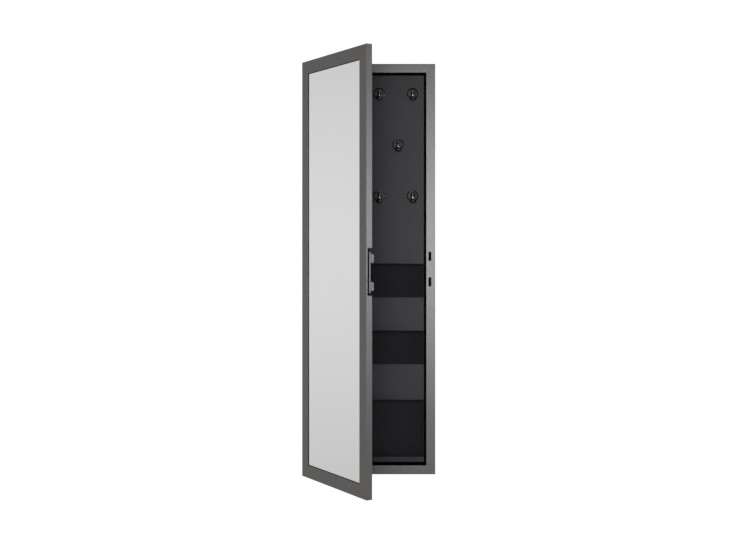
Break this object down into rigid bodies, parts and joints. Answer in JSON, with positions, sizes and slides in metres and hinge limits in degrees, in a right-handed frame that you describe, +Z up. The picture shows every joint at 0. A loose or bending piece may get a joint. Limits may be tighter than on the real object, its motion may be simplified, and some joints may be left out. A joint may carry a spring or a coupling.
{
  "type": "wall-mounted jewelry armoire",
  "caption": "Slim wall-hung metal cabinet with a framed mirror door, jewelry hooks, full-width fabric pockets and a sliding two-hook latch.",
  "frame": {"origin": "centre of the back board's rear face, which rests on the wall", "axes": "+X to the right as seen from the front, +Y into the wall, +Z up"},
  "size_m": [0.3884, 0.3941, 1.202],
  "materials": {
    "gunmetal": "satin gunmetal grey lacquer on mitred metal profile",
    "steel": "bright zinc-plated pressed steel",
    "mirror": "silvered plate glass",
    "black_plastic": "moulded glossy black",
    "grey_plastic": "moulded dull dark grey",
    "lining": "fine dark slate flocked lining",
    "felt": "matt black felt",
    "pocket_fabric": "near-black brushed fabric with an elastic top hem",
    "board": "dark fibreboard",
    "rubber": "matt black"
  },
  "bodies": {
    "cabinet": {"cabinet_stile_left": "gunmetal", "cabinet_rail_top": "gunmetal", "cabinet_stile_right": "gunmetal", "cabinet_rail_bottom": "gunmetal", "cabinet_corner_key_top_left": "grey_plastic", "cabinet_corner_key_top_right": "grey_plastic", "cabinet_corner_key_bottom_right": "grey_plastic", "cabinet_corner_key_bottom_left": "grey_plastic", "latch_keeper": "black_plastic", "hanger_plate_top_left": "steel", "hanger_plate_top_right": "steel", "hanger_plate_bottom_left": "steel", "hanger_plate_bottom_right": "steel", "hanging_batten_top": "board", "hanging_batten_bottom": "board", "back_board": "board", "lining_panel": "lining", "top_lining": "felt", "bottom_lining": "felt", "side_lining_left": "felt", "side_lining_right": "felt", "jewelry_hook_1": "black_plastic", "jewelry_hook_2": "black_plastic", "jewelry_hook_3": "black_plastic", "jewelry_hook_4": "black_plastic", "jewelry_hook_5": "black_plastic", "jewelry_hook_6": "black_plastic", "jewelry_hook_7": "black_plastic", "jewelry_hook_8": "black_plastic", "jewelry_hook_9": "black_plastic", "pocket_top": "pocket_fabric", "pocket_middle": "pocket_fabric", "pocket_bottom": "pocket_fabric", "hinge_top_cabinet_leaf": "steel", "hinge_top_pin": "steel", "hinge_middle_cabinet_leaf": "steel", "hinge_middle_pin": "steel", "hinge_bottom_cabinet_leaf": "steel", "hinge_bottom_pin": "steel"},
    "door": {"hinge_top_door_leaf": "steel", "hinge_middle_door_leaf": "steel", "hinge_bottom_door_leaf": "steel", "door_stile_hinge_side": "gunmetal", "door_rail_top": "gunmetal", "door_stile_latch_side": "gunmetal", "door_rail_bottom": "gunmetal", "door_corner_key_top_left": "grey_plastic", "door_corner_key_top_right": "grey_plastic", "door_corner_key_bottom_right": "grey_plastic", "door_corner_key_bottom_left": "grey_plastic", "mirror_glass": "mirror", "mirror_backing_board": "board", "door_inner_panel": "lining", "door_bumper_top": "rubber", "door_bumper_bottom": "rubber", "latch_case": "black_plastic"},
    "latch": {"latch_bar": "steel"}
  },
  "joints": [
    {"name": "door_hinge", "type": "hinge", "parent": "cabinet", "child": "door", "pos_m": [-0.1883, -0.0635, 0], "axis": [0, 0, -1], "range_deg": [-59.2, 60.8]},
    {"name": "latch_slide", "type": "slide", "parent": "door", "child": "latch", "axis": [0, 0, 1], "range_m": [-0.002, 0.002]}
  ]
}
